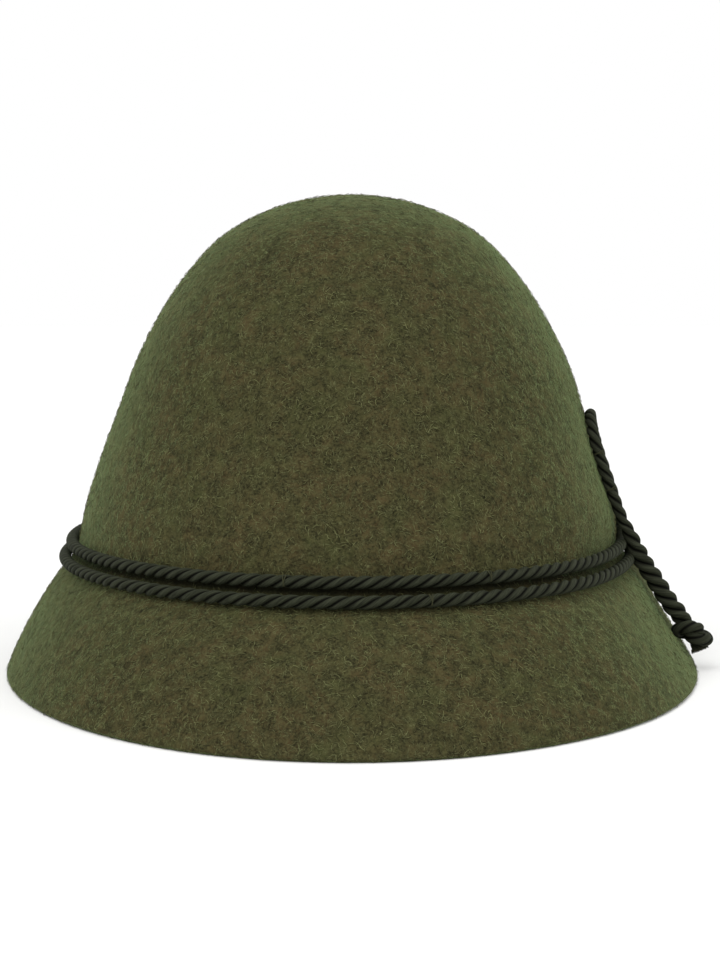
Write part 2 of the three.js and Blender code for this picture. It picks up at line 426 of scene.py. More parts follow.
def cord_source(name, points, run, laid, radius, closed=False):
    """Vertices and edges along a cord, with its lay, run and radius as attributes."""
    count = len(points)
    edges = [(i, i + 1) for i in range(count - 1)]
    if closed:
        edges.append((count - 1, 0))
    mesh = bpy.data.meshes.new(name)
    mesh.from_pydata(points.tolist(), edges, [])
    point_values(mesh, "lay", laid)
    point_values(mesh, "along", run)
    point_values(mesh, "radius_here", np.broadcast_to(radius, count))
    return mesh


# %% [markdown]
# ## Growing pieces with Geometry Nodes
# Every cord has the same make, only another route, so one node tree grows
# them all: a section of three round yarns follows the line, turned by the
# lay. The helpers below build a tree in the script, give it named inputs and
# turn what it grows into a plain mesh.

# %% Helpers for node trees
def add_node(tree, kind, **settings):
    node = tree.nodes.new(kind)
    for name, value in settings.items():
        setattr(node, name, value)
    return node


def wire(tree, value, socket):
    """Sets a socket to a number or a colour, or links an output to it."""
    if isinstance(value, bpy.types.NodeSocket):
        tree.links.new(value, socket)
    else:
        socket.default_value = value


def calculated(tree, operation, *values):
    """The result of a Math node."""
    node = add_node(tree, "ShaderNodeMath", operation=operation)
    for value, socket in zip(values, node.inputs):
        wire(tree, value, socket)
    return node.outputs[0]


def times(tree, first, second):
    return calculated(tree, "MULTIPLY", first, second)


def plus(tree, first, second):
    return calculated(tree, "ADD", first, second)


def minus(tree, first, second):
    return calculated(tree, "SUBTRACT", first, second)


def scaled_vector(tree, vector, size):
    node = add_node(tree, "ShaderNodeVectorMath", operation="SCALE")
    wire(tree, vector, node.inputs[0])
    wire(tree, size, node.inputs["Scale"])
    return node.outputs[0]


def growing_tree(name, inputs):
    """A Geometry Nodes tree with a geometry input and output and named inputs."""
    tree = bpy.data.node_groups.new(name, "GeometryNodeTree")
    tree.interface.new_socket("Geometry", in_out="INPUT", socket_type="NodeSocketGeometry")
    for title, kind in inputs:
        tree.interface.new_socket(title, in_out="INPUT", socket_type="NodeSocket" + kind)
    tree.interface.new_socket("Geometry", in_out="OUTPUT", socket_type="NodeSocketGeometry")
    return tree, add_node(tree, "NodeGroupInput").outputs


def finish_tree(tree, geometry, material):
    """Realize Instances and Set Material, which the exported mesh needs."""
    realized = add_node(tree, "GeometryNodeRealizeInstances")
    coated = add_node(tree, "GeometryNodeSetMaterial")
    result = add_node(tree, "NodeGroupOutput")
    wire(tree, geometry, realized.inputs[0])
    wire(tree, realized.outputs[0], coated.inputs[0])
    wire(tree, material, coated.inputs["Material"])
    wire(tree, coated.outputs[0], result.inputs[0])


def stored(tree, geometry, name, value):
    """The same geometry with one more number at each of its points."""
    node = add_node(tree, "GeometryNodeStoreNamedAttribute", data_type="FLOAT", domain="POINT")
    wire(tree, geometry, node.inputs["Geometry"])
    wire(tree, name, node.inputs["Name"])
    wire(tree, value, node.inputs["Value"])
    return node.outputs[0]


def named(tree, name, kind="FLOAT"):
    node = add_node(tree, "GeometryNodeInputNamedAttribute", data_type=kind)
    wire(tree, name, node.inputs["Name"])
    return node.outputs["Attribute"]


def smooth_tube(tree, line, section, scale=1.0):
    """A closed tube of a section along a line, shaded smooth."""
    tube = add_node(tree, "GeometryNodeCurveToMesh")
    wire(tree, line, tube.inputs["Curve"])
    wire(tree, section, tube.inputs["Profile Curve"])
    wire(tree, scale, tube.inputs["Scale"])
    wire(tree, True, tube.inputs["Fill Caps"])
    smooth = add_node(tree, "GeometryNodeSetShadeSmooth")
    wire(tree, tube.outputs[0], smooth.inputs["Geometry"])
    return smooth.outputs[0]


def grown(name, source, tree, **values):
    """The plain mesh that a tree grows on a source mesh, as a new object."""
    holder = bpy.data.objects.new(name + "_source", source)
    scene.collection.objects.link(holder)
    modifier = holder.modifiers.new("grow", "NODES")
    modifier.node_group = tree
    for item in tree.interface.items_tree:
        key = item.name.lower().replace(" ", "_")
        if item.in_out == "INPUT" and key in values:
            modifier[item.identifier] = values[key]
    ready = holder.evaluated_get(bpy.context.evaluated_depsgraph_get())
    mesh = bpy.data.meshes.new_from_object(ready)
    mesh.name = name
    holder.modifiers.remove(modifier)
    bpy.data.objects.remove(holder)
    piece = bpy.data.objects.new(name, mesh)
    scene.collection.objects.link(piece)
    mesh.calc_loop_triangles()
    print(name, len(mesh.loop_triangles), "triangles")
    return piece


# %% The tree of a twisted cord
def yarn_section(tree, yarns, points_each, middle):
    """Round yarns side by side in a circle of radius 1, as one closed outline."""
    circle = add_node(tree, "GeometryNodeCurvePrimitiveCircle", mode="RADIUS")
    wire(tree, times(tree, yarns, points_each), circle.inputs["Resolution"])
    wire(tree, 1.0, circle.inputs["Radius"])
    index = add_node(tree, "GeometryNodeInputIndex").outputs[0]
    over_yarn = calculated(tree, "FRACT", calculated(tree, "DIVIDE", index, points_each))
    side = minus(tree, times(tree, over_yarn, 2.0), 1.0)
    turn = calculated(tree, "DIVIDE", times(tree, side, math.pi), yarns)
    sideways = times(tree, calculated(tree, "SINE", turn), middle)
    outwards = times(tree, calculated(tree, "COSINE", turn), middle)
    square = minus(tree, calculated(tree, "POWER", minus(tree, 1.0, middle), 2.0),
                   calculated(tree, "POWER", sideways, 2.0))
    reach = plus(tree, outwards, calculated(tree, "SQRT", square))
    moved = add_node(tree, "GeometryNodeSetPosition")
    wire(tree, circle.outputs["Curve"], moved.inputs["Geometry"])
    place = add_node(tree, "GeometryNodeInputPosition").outputs[0]
    wire(tree, scaled_vector(tree, place, reach), moved.inputs["Position"])
    marked = stored(tree, moved.outputs[0], "across", calculated(tree, "ABSOLUTE", side))
    return stored(tree, marked, "yarn_side", side)


def twisted_cord_tree():
    tree, given = growing_tree("Twisted cord", [
        ("Yarns", "Int"), ("Points Each", "Int"), ("Yarn Place", "Float"), ("Material", "Material"),
    ])
    line = add_node(tree, "GeometryNodeMeshToCurve")
    wire(tree, given["Geometry"], line.inputs["Mesh"])
    turned = add_node(tree, "GeometryNodeSetCurveNormal", mode="FREE")
    wire(tree, line.outputs[0], turned.inputs["Curve"])
    wire(tree, named(tree, "lay", "FLOAT_VECTOR"), turned.inputs["Normal"])
    section = yarn_section(tree, given["Yarns"], given["Points Each"], given["Yarn Place"])
    body = smooth_tube(tree, turned.outputs[0], section, named(tree, "radius_here"))
    finish_tree(tree, body, given["Material"])
    return tree


YARNS = 3
SECTION_POINTS = 9
# how far a yarn's middle lies from the cord's, in cord radii: the more, the deeper the grooves
BAND_YARN_PLACE = 0.44
LOOP_YARN_PLACE = 0.40
TAIL_YARN_PLACE = 0.45
KNOT_YARN_PLACE = 0.34
cord_tree = twisted_cord_tree()
print("cord tree has", len(cord_tree.nodes), "nodes")

# %% [markdown]
# ## Finishes
# Wool felt has no threads. Dyed fibres of several greens and browns lie in
# all directions, so up close it is a soft mottle with fine curly lines, and
# seen flat along the surface its nap catches the light. The cord is dull and
# almost black, with filaments that run along each yarn. Effects that more
# than one finish needs are node groups, and the sheen is set on the shader
# itself so that the exported model keeps it.

# %% Helpers for finishes
def srgb(red, green, blue):
    """A colour given as on a screen, 0 to 255, as the linear one that a shader takes."""
    def linear(value):
        share = value / 255
        return share / 12.92 if share <= 0.04045 else ((share + 0.055) / 1.055) ** 2.4
    return (linear(red), linear(green), linear(blue), 1.0)


def effect_group(name, inputs, outputs):
    tree = bpy.data.node_groups.new(name, "ShaderNodeTree")
    for title, kind in inputs:
        tree.interface.new_socket(title, in_out="INPUT", socket_type="NodeSocket" + kind)
    for title, kind in outputs:
        tree.interface.new_socket(title, in_out="OUTPUT", socket_type="NodeSocket" + kind)
    return tree, add_node(tree, "NodeGroupInput").outputs, add_node(tree, "NodeGroupOutput").inputs


def placed_effect(tree, group, **values):
    node = add_node(tree, "ShaderNodeGroup", node_tree=group)
    for socket in node.inputs:
        key = socket.name.lower().replace(" ", "_")
        if key in values:
            wire(tree, values[key], socket)
    return node.outputs


def noise(tree, vector, scale, detail=2.0, roughness=0.5, distortion=0.0):
    node = add_node(tree, "ShaderNodeTexNoise")
    for name, value in (("Vector", vector), ("Scale", scale), ("Detail", detail),
                        ("Roughness", roughness), ("Distortion", distortion)):
        wire(tree, value, node.inputs[name])
    return node.outputs["Fac"]


def between(tree, value, low, high, to_low=0.0, to_high=1.0):
    """A value stretched from one range to another, and held inside it."""
    node = add_node(tree, "ShaderNodeMapRange", interpolation_type="SMOOTHSTEP")
    for socket, number in zip(node.inputs, (value, low, high, to_low, to_high)):
        wire(tree, number, socket)
    return node.outputs[0]


def mixed(tree, share, first, second):
    """A colour between two others."""
    node = add_node(tree, "ShaderNodeMix", data_type="RGBA")
    wire(tree, share, node.inputs["Factor"])
    wire(tree, first, node.inputs[6])
    wire(tree, second, node.inputs[7])
    return node.outputs[2]


def finish(name):
    """A new material, its tree and its Principled shader."""
    material = bpy.data.materials.new(name)
    material.use_nodes = True
    return material, material.node_tree, material.node_tree.nodes["Principled BSDF"]


def surface(shader, values):
    """Sets what is the same all over a surface, on the shader's own sockets."""
    for name, value in values.items():
        shader.inputs[name].default_value = value


def attribute(tree, name):
    return add_node(tree, "ShaderNodeAttribute", attribute_name=name).outputs["Fac"]


def bump(tree, shader, height, strength, distance):
    node = add_node(tree, "ShaderNodeBump")
    wire(tree, strength, node.inputs["Strength"])
    wire(tree, distance, node.inputs["Distance"])
    wire(tree, height, node.inputs["Height"])
    wire(tree, node.outputs[0], shader.inputs["Normal"])


# %% Shared effects: mottle and curly fibres
def mottle_group():
    """Soft patches of dye, flecks and a fine grain, each from 0 to 1."""
    tree, given, result = effect_group(
        "Wool mottle", [("Vector", "Vector"), ("Patches", "Float"), ("Flecks", "Float")],
        [("Patch", "Float"), ("Fleck", "Float"), ("Grain", "Float")],
    )
    place = given["Vector"]
    patch = noise(tree, place, given["Patches"], detail=3.0, roughness=0.55, distortion=0.6)
    fleck = noise(tree, place, given["Flecks"], detail=5.0, roughness=0.72, distortion=0.8)
    fine = times(tree, given["Flecks"], 6.0)
    grain = noise(tree, place, fine, detail=3.0, roughness=0.7, distortion=0.4)
    wire(tree, between(tree, patch, 0.36, 0.64), result["Patch"])
    wire(tree, between(tree, fleck, 0.36, 0.64), result["Fleck"])
    wire(tree, between(tree, grain, 0.25, 0.75), result["Grain"])
    return tree


def curls_group():
    """Thin curly lines, 1 on a line and 0 beside it, as loose fibres lie."""
    tree, given, result = effect_group(
        "Curly fibres", [("Vector", "Vector"), ("Scale", "Float"), ("Width", "Float"), ("Bend", "Float")],
        [("Line", "Float")],
    )
    wave = noise(tree, given["Vector"], given["Scale"], detail=1.0, distortion=given["Bend"])
    off = calculated(tree, "ABSOLUTE", minus(tree, wave, 0.5))
    line = between(tree, off, 0.0, given["Width"], 1.0, 0.0)
    part = times(tree, given["Scale"], 0.8)
    broken = between(tree, noise(tree, given["Vector"], part, detail=0.0), 0.44, 0.58)
    wire(tree, times(tree, line, broken), result["Line"])
    return tree


mottle = mottle_group()
curls = curls_group()
print("shared effects:", mottle.name, "and", curls.name)

# %% The felt's finish
BROWN_WOOL = srgb(61, 50, 31)
GREEN_WOOL = srgb(50, 53, 29)
DARK_FLECK = srgb(20, 19, 10)
PALE_GRAIN = srgb(80, 78, 50)
DARK_FIBRE = srgb(22, 21, 12)
PALE_FIBRE = srgb(104, 106, 72)
# painted shade: the felt between the two turns is darkened towards this colour, as the gap between the
# cords lies in shadow
GAP_SHADE_COLOUR = srgb(16, 17, 12)


def felt_finish():
    material, tree, shader = finish("loden_felt")
    place = add_node(tree, "ShaderNodeTexCoord").outputs["Object"]
    wool = placed_effect(tree, mottle, vector=place, patches=85.0, flecks=260.0)
    light = placed_effect(tree, curls, vector=place, scale=620.0, width=0.035, bend=1.6)["Line"]
    dark = placed_effect(tree, curls, vector=place, scale=470.0, width=0.045, bend=1.2)["Line"]
    dyed = mixed(tree, wool["Patch"], BROWN_WOOL, GREEN_WOOL)
    flecked = mixed(tree, wool["Fleck"], DARK_FLECK, dyed)
    grained = mixed(tree, times(tree, wool["Grain"], 0.7), flecked, PALE_GRAIN)
    shaded = mixed(tree, times(tree, dark, 0.6), grained, DARK_FIBRE)
    lit = mixed(tree, times(tree, light, 0.5), shaded, PALE_FIBRE)
    # painted shade: darkens the felt's colour in the strip between the two turns
    gap_shade_share = times(tree, attribute(tree, "between_turns"), 0.8)
    wire(tree, mixed(tree, gap_shade_share, lit, GAP_SHADE_COLOUR), shader.inputs["Base Color"])
    surface(shader, {
        "Roughness": 0.95, "Specular IOR Level": 0.05, "Sheen Weight": 0.38,
        "Sheen Roughness": 0.24, "Sheen Tint": (0.66, 1.0, 0.42, 1.0),
    })
    fuzz = plus(tree, times(tree, wool["Grain"], 0.6), light)
    height = plus(tree, times(tree, wool["Fleck"], 0.8), fuzz)
    bump(tree, shader, height, strength=0.5, distance=0.0003)
    return material


felt_material = felt_finish()
print(felt_material.name, "has", len(felt_material.node_tree.nodes), "nodes")

# %% The cord's finish, which follows its yarns
FILAMENTS_ALONG = 900.0
FILAMENTS_ACROSS = 9.0
FILAMENT_SLANT = 0.9
FILAMENT_STRETCH = 0.28
FILAMENT_DARK = srgb(25, 27, 19)
FILAMENT_PALE = srgb(54, 57, 44)
# painted shade: the sides of each yarn and the grooves between the yarns are darkened towards these
# colours, where shade falls
YARN_SIDE_SHADE = srgb(16, 17, 10)
GROOVE_SHADE = srgb(3, 3, 1)


def cord_finish():
    material, tree, shader = finish("twisted_cord")
    along = attribute(tree, "along")
    across = attribute(tree, "across")
    side = attribute(tree, "yarn_side")
    slide = plus(tree, times(tree, along, FILAMENTS_ALONG), times(tree, side, FILAMENT_SLANT))
    yarn = add_node(tree, "ShaderNodeCombineXYZ")
    wire(tree, times(tree, side, FILAMENTS_ACROSS), yarn.inputs[0])
    wire(tree, times(tree, slide, FILAMENT_STRETCH), yarn.inputs[1])
    filaments = noise(tree, yarn.outputs[0], 1.0, detail=3.0, roughness=0.6, distortion=0.3)
    top = mixed(tree, between(tree, filaments, 0.32, 0.68), FILAMENT_DARK, FILAMENT_PALE)
    # painted shade on the yarns' sides and in the grooves between them
    shaded = mixed(tree, between(tree, across, 0.45, 0.9), top, YARN_SIDE_SHADE)
    deep = mixed(tree, between(tree, across, 0.74, 0.96), shaded, GROOVE_SHADE)
    wire(tree, deep, shader.inputs["Base Color"])
    surface(shader, {
        "Roughness": 0.7, "Specular IOR Level": 0.05, "Sheen Weight": 0.02,
        "Sheen Roughness": 0.4, "Sheen Tint": (0.55, 0.75, 0.45, 1.0),
    })
    bump(tree, shader, filaments, strength=0.6, distance=0.0002)
    return material


cord_material = cord_finish()
print(cord_material.name, "has", len(cord_material.node_tree.nodes), "nodes")


# %% The fibres' and the thread's finish
def fibre_finish(name, dark, light, clumps=0.0):
    """Fibres of many tones; clumps is the share of the tone that neighbours have in common."""
    material, tree, shader = finish(name)
    tone = attribute(tree, "tone")
    if clumps:
        place = add_node(tree, "ShaderNodeTexCoord").outputs["Object"]
        common = between(tree, noise(tree, place, 230.0, detail=3.0, roughness=0.65), 0.38, 0.60)
        tone = plus(tree, times(tree, common, clumps), times(tree, tone, 1.0 - clumps))
    wire(tree, mixed(tree, tone, dark, light), shader.inputs["Base Color"])
    surface(shader, {"Roughness": 0.8, "Specular IOR Level": 0.15})
    return material


nap_material = fibre_finish("nap_fibres", srgb(39, 38, 21), srgb(117, 120, 79), clumps=0.80)
fray_material = fibre_finish("cord_fray", srgb(30, 31, 21), srgb(62, 62, 46))
thread_material = fibre_finish("tack_thread", srgb(48, 49, 31), srgb(66, 67, 43))
print("fibres:", nap_material.name, fray_material.name, thread_material.name)

# %% [markdown]
# ## The cords
# The two turns round the crown are closed rings. Loop, tail and knot are one
# run that starts where the loop's rear leg meets the upper turn, goes up and
# over, down over both turns and into the knot. The tail is a little thicker
# than the rest, because nothing pulls it tight, and the cord is squeezed in
# the knot.

# %% The two turns round the crown
BAND_CORD = 0.0036
BAND_LIFT = 0.0005


def ring_piece(name, node, height):
    points = band_line(height + BAND_LIFT)
    run, laid = laid_directions(points, closed=True)
    source = cord_source(name, points, run, laid, BAND_CORD / 2, closed=True)
    piece = grown(name, source, cord_tree, yarns=YARNS, points_each=SECTION_POINTS,
                  yarn_place=BAND_YARN_PLACE, material=cord_material)
    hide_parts(node)
    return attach(piece, "root")


ring_piece("cord_turn_upper", "band_cord_upper", BAND_HEIGHT + BAND_CORD_RISE / 2)
ring_piece("cord_turn_lower", "band_cord_lower", BAND_HEIGHT - BAND_CORD_RISE / 2)

# %% The tied knot, brought to the tail's end
KNOT_BELOW = (0.0019, -0.0002, -0.0030)
KNOT_TURN = math.radians(70)
KNOT_TILT = math.radians(25)
KNOT_LEAD = 0.0045


def knot_line(end, start):
    """The tied knot below the tail's end, led in from the tail's last point."""
    down = np.array((math.sin(KNOT_TILT), 0, -math.cos(KNOT_TILT)))
    away = np.cross((0, 1, 0), down)
    back = np.cross(down, away)
    cosine, sine = math.cos(KNOT_TURN), math.sin(KNOT_TURN)
    side = knot_shape[:, 0] * cosine - knot_shape[:, 1] * sine
    front = knot_shape[:, 0] * sine + knot_shape[:, 1] * cosine
    across = front[:, None] * away - side[:, None] * back
    line = end + np.array(KNOT_BELOW) + across + knot_shape[:, 2:] * down
    from_start = np.linspace(0, line_length(line), KNOT_POINTS)
    lead = np.maximum(1 - from_start / KNOT_LEAD, 0) ** 2
    return line + lead[:, None] * (start - line[0])


def softened(points, reach):
    """A line with its small kinks smoothed out over a reach, and its ends kept."""
    count = int(3 * reach / RING_STEP)
    weight = np.exp(-0.5 * (np.arange(-count, count + 1) * RING_STEP / reach) ** 2)
    weight /= weight.sum()
    first = 2 * points[0] - points[count:0:-1]
    last = 2 * points[-1] - points[-2:-count - 2:-1]
    long = np.concatenate([first, points, last])
    return np.stack([np.convolve(long[:, k], weight, "valid") for k in range(3)], -1)


# %% Loop, tail and knot as one run
KNOT_STEPS_CUT = 6
SOFTENING = 0.0007

tail_part = tail_line[:-KNOT_STEPS_CUT]
whole = np.concatenate([loop_line[::-1], tail_part, knot_line(tail_line[-1], tail_part[-1])[1:]])
loop_length = line_length(loop_line)
knot_start = loop_length + line_length(tail_part)
whole = softened(spaced(whole, int(line_length(whole) / RING_STEP)), SOFTENING)
run, laid = laid_directions(whole)
print("whole run", round(float(run[-1]), 4), "m of cord")

# %% How thick the cord is along the run
LOOP_RADIUS = 0.00178
TAIL_RADIUS = 0.0028
KNOT_RADIUS = 0.0019
END_RADIUS = 0.0026

radius_places = [
    (loop_length, LOOP_RADIUS), (loop_length + 0.011, TAIL_RADIUS),
    (knot_start - 0.001, TAIL_RADIUS), (knot_start + 0.003, KNOT_RADIUS),
    (run[-1] - 0.003, KNOT_RADIUS), (run[-1], END_RADIUS),
]
radius = np.interp(run, *zip(*radius_places))
print("radius", round(float(radius.min()), 5), "to", round(float(radius.max()), 5), "m")


# %% The run cut into three pieces
def run_piece(name, node, start, end, yarn_place):
    """The stretch of the run between two lengths, as one piece of cord."""
    part = (run > start - RING_STEP) & (run < end + RING_STEP)
    source = cord_source(name, whole[part], run[part], laid[part], radius[part])
    piece = grown(name, source, cord_tree, yarns=YARNS, points_each=SECTION_POINTS,
                  yarn_place=yarn_place, material=cord_material)
    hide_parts(node)
    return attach(piece, "root")


run_piece("loop", "side_loop", 0, loop_length, LOOP_YARN_PLACE)
tail = run_piece("tail", "tail_cord", loop_length, knot_start, TAIL_YARN_PLACE)
knot = run_piece("knot", "tail_knot", knot_start, run[-1], KNOT_YARN_PLACE)

# %% [markdown]
# ## The felt
# The felt is one soft wall, 2.5 mm thick. Its outside is the surface given
# above, with many more points than the solid's. Its edge is a little rounded,
# because felt is cut with shears and its nap then hides the corner. The strip
# between the two turns is marked: its colour is darkened there as painted
# shade of the gap between the cords, and it carries no loose fibres.

# %% The felt's wall as one closed grid
AROUND = 256
OUTER_ROWS = 108
INNER_ROWS = 30
EDGE_ROWS = 7
EDGE_REACH = 0.0009
EDGE_ROUNDING = 0.4


def edge_ring(angle, base, turn):
    """One ring of the rounded edge, from the outside at 0 to the inside at half a turn."""
    half = FELT_WALL / 2
    middle = lifted_point(base, angle, -half)
    out = lifted_point(base, angle, 0.0) - middle
    down = middle - lifted_point(base + SMALL_STEP, angle, -half)
    down /= np.linalg.norm(down, axis=1, keepdims=True)
    across = math.copysign(abs(math.cos(turn)) ** EDGE_ROUNDING, math.cos(turn))
    return middle + across * out + math.sin(turn) ** EDGE_ROUNDING * EDGE_REACH * down


def felt_rings():
    """Rings from the tip down the outside, round the edge and up the inside, with the tips apart."""
    angle = np.linspace(0, 2 * math.pi, AROUND, endpoint=False)
    base = place_at_height(angle, -FELT_WALL / 2, EDGE_REACH)
    outside = [
        lifted_point(base + (TIP - base) * share, angle, 0.0)
        for share in np.linspace(1, 0, OUTER_ROWS + 1)[1:]
    ]
    edge = [edge_ring(angle, base, math.pi * i / (EDGE_ROWS + 1)) for i in range(1, EDGE_ROWS + 1)]
    inside = [
        lifted_point(base + (TIP - base) * share, angle, -FELT_WALL)
        for share in np.linspace(0, 1, INNER_ROWS + 1)[:-1]
    ]
    return outside, edge + inside

# %% Its faces, and the marks for the painted shade between the turns and the nap
NAPPED_EDGE_ROWS = 3
STRIP_REACH = 0.8 * BAND_CORD / 2
STRIP_CORE = 1.6


def felt_mesh():
    outside, rest = felt_rings()
    rings = outside + rest
    top = felt_point(TIP, 0.0)
    points = np.concatenate([[top], *rings, [top - (0, 0, FELT_WALL)]])
    index = 1 + np.arange(len(rings) * AROUND).reshape(len(rings), AROUND)
    beside = np.roll(index, -1, axis=1)
    faces = np.stack([index[1:], beside[1:], beside[:-1], index[:-1]], -1).reshape(-1, 4).tolist()
    faces += [(0, index[0, j], beside[0, j]) for j in range(AROUND)]
    faces += [(len(points) - 1, beside[-1, j], index[-1, j]) for j in range(AROUND)]
    mesh = bpy.data.meshes.new("felt")
    mesh.from_pydata(points.tolist(), [], faces)
    shown = np.zeros(len(points))
    shown[:1 + (len(outside) + NAPPED_EDGE_ROWS) * AROUND] = 1
    # the strip between the two turns, whose colour is darkened as painted shade and which grows no nap
    over = np.abs(points[:, 2] - BAND_HEIGHT - BAND_LIFT)
    shade = shown * np.clip(STRIP_CORE - over / STRIP_REACH, 0, 1)
    point_values(mesh, "between_turns", shade)
    point_values(mesh, "napped", shown * (shade < 0.5))
    mesh.shade_smooth()
    return mesh


felt = bpy.data.objects.new("felt", felt_mesh())
scene.collection.objects.link(felt)
felt.data.materials.append(felt_material)
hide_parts("felt_body")
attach(felt, "root")
print("felt", len(felt.data.polygons), "faces")

# %% [markdown]
# ## The nap
# Wool felt is never quite smooth: fine curly fibres lie on it and stand off
# its outline, some dark and some a pale olive, often a clump of one tone.
# Painted lines can't stand off an outline, and a particle system can't be
# exported, so a node tree scatters short curved fibres on the outside of the
# felt, turns each one to lie along the surface, and crinkles them all by one
# field of noise.

# %% Helpers for scattered fibres
def random_between(tree, low, high, seed, number):
    """A random number for each point; every use in a tree has a number of its own."""
    node = add_node(tree, "FunctionNodeRandomValue", data_type="FLOAT")
    wire(tree, low, node.inputs[2])
    wire(tree, high, node.inputs[3])
    wire(tree, plus(tree, seed, float(number)), node.inputs["Seed"])
    return node.outputs[1]


def turned_about(tree, rotation, axis, angle):
    spin = add_node(tree, "FunctionNodeAxisAngleToRotation")
    wire(tree, axis, spin.inputs["Axis"])
    wire(tree, angle, spin.inputs["Angle"])
    node = add_node(tree, "FunctionNodeRotateRotation", rotation_space="LOCAL")
    wire(tree, rotation, node.inputs[0])
    wire(tree, spin.outputs[0], node.inputs[1])
    return node.outputs[0]


def bowed_line(tree, steps, start, middle, end):
    """A short line bent like a bow, in so many steps."""
    node = add_node(tree, "GeometryNodeCurveQuadraticBezier")
    for title, value in (("Resolution", steps), ("Start", start), ("Middle", middle), ("End", end)):
        wire(tree, value, node.inputs[title])
    return node.outputs[0]


def set_on_points(tree, points, shape, rotation, size=1.0):
    """A real copy of a shape on each point."""
    each_way = add_node(tree, "ShaderNodeCombineXYZ")
    for socket in each_way.inputs:
        wire(tree, size, socket)
    placed = add_node(tree, "GeometryNodeInstanceOnPoints")
    wire(tree, points, placed.inputs["Points"])
    wire(tree, shape, placed.inputs["Instance"])
    wire(tree, rotation, placed.inputs["Rotation"])
    wire(tree, each_way.outputs[0], placed.inputs["Scale"])
    real = add_node(tree, "GeometryNodeRealizeInstances")
    wire(tree, placed.outputs[0], real.inputs[0])
    return real.outputs[0]


def round_section(tree, corners, thickness):
    node = add_node(tree, "GeometryNodeCurvePrimitiveCircle", mode="RADIUS")
    wire(tree, corners, node.inputs["Resolution"])
    wire(tree, calculated(tree, "DIVIDE", thickness, 2.0), node.inputs["Radius"])
    return node.outputs["Curve"]


def tapered_fibre(tree, line, thickness):
    """A thin three-sided tube that narrows to both ends."""
    along = add_node(tree, "GeometryNodeSplineParameter").outputs["Factor"]
    from_middle = calculated(tree, "ABSOLUTE", minus(tree, along, 0.5))
    taper = minus(tree, 1.0, times(tree, from_middle, 1.5))
    return smooth_tube(tree, line, round_section(tree, 3, thickness), taper)


# %% Which faces grow nap, and how it crinkles
CRINKLE_SCALE = 900.0


def strewn_points(tree, given):
    """Points on the napped felt between two heights."""
    apart = add_node(tree, "ShaderNodeSeparateXYZ")
    wire(tree, add_node(tree, "GeometryNodeInputPosition").outputs[0], apart.inputs[0])
    above = calculated(tree, "GREATER_THAN", apart.outputs["Z"], given["From Height"])
    below = calculated(tree, "LESS_THAN", apart.outputs["Z"], given["To Height"])
    napped = calculated(tree, "GREATER_THAN", named(tree, "napped"), 0.5)
    strewn = add_node(tree, "GeometryNodeDistributePointsOnFaces", distribute_method="RANDOM")
    wire(tree, given["Geometry"], strewn.inputs["Mesh"])
    wire(tree, times(tree, times(tree, above, below), napped), strewn.inputs["Selection"])
    wire(tree, given["Density"], strewn.inputs["Density"])
    wire(tree, given["Seed"], strewn.inputs["Seed"])
    return strewn.outputs


def crinkled(tree, lines, amount):
    """Lines bent by a field of noise, so that neighbours bend alike."""
    field = add_node(tree, "ShaderNodeTexNoise")
    wire(tree, CRINKLE_SCALE, field.inputs["Scale"])
    wire(tree, 1.0, field.inputs["Detail"])
    centred = add_node(tree, "ShaderNodeVectorMath", operation="SUBTRACT")
    wire(tree, field.outputs["Color"], centred.inputs[0])
    wire(tree, (0.5, 0.5, 0.5), centred.inputs[1])
    moved = add_node(tree, "GeometryNodeSetPosition")
    wire(tree, lines, moved.inputs["Geometry"])
    wire(tree, scaled_vector(tree, centred.outputs[0], amount), moved.inputs["Offset"])
    return moved.outputs[0]


# %% The tree that scatters fibres
# how far a fibre's ends tip into or off the felt, and its length as a share of the usual one
FIBRE_TIP = (-0.16, 0.05)
FIBRE_LENGTHS = (0.35, 1.3)


def nap_tree():
    tree, given = growing_tree("Felt nap", [
        ("Density", "Float"), ("From Height", "Float"), ("To Height", "Float"), ("Length", "Float"),
        ("Thickness", "Float"), ("Crinkle", "Float"), ("Seed", "Int"), ("Material", "Material"),
    ])
    seed = given["Seed"]
    strewn = strewn_points(tree, given)
    toned = stored(tree, strewn["Points"], "tone", random_between(tree, 0.0, 1.0, seed, 1))
    spun = turned_about(tree, strewn["Rotation"], (0, 0, 1),
                        random_between(tree, 0.0, 2 * math.pi, seed, 2))
    tipped = turned_about(tree, spun, (0, 1, 0), random_between(tree, *FIBRE_TIP, seed, 3))
    bow = bowed_line(tree, 3, (-0.5, 0.0, -0.02), (0.0, 0.30, 0.20), (0.5, 0.0, 0.02))
    length = times(tree, given["Length"], random_between(tree, *FIBRE_LENGTHS, seed, 4))
    lines = crinkled(tree, set_on_points(tree, toned, bow, tipped, length), given["Crinkle"])
    finish_tree(tree, tapered_fibre(tree, lines, given["Thickness"]), given["Material"])
    return tree


# %% Nap in six zones, from the brim's edge to the tip
NAP_DENSITY = 445000.0
NAP_LENGTH = 0.0021
NAP_THICKNESS = 0.00015
NAP_CRINKLE = 0.0013
NAP_ZONES = [
    ("nap_edge", -0.001, 0.015), ("nap_brim", 0.015, 0.032), ("nap_foot", 0.032, 0.058),
    ("nap_crown", 0.058, 0.084), ("nap_shoulder", 0.084, 0.114), ("nap_top", 0.114, 0.150),
]

fibre_tree = nap_tree()
for number, (name, low, high) in enumerate(NAP_ZONES):
    nap = grown(name, felt.data, fibre_tree, density=NAP_DENSITY, from_height=low, to_height=high,
                length=NAP_LENGTH, thickness=NAP_THICKNESS, crinkle=NAP_CRINKLE, seed=11 + number,
                material=nap_material)
    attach(nap, "root")

# %% [markdown]
# ## Tack stitches
# The cord is held by a few small stitches of olive thread. Each one is a pair
# of short arcs that pass over the cord, so a node tree places arcs on the
# cord's line and turns them to stand across it.

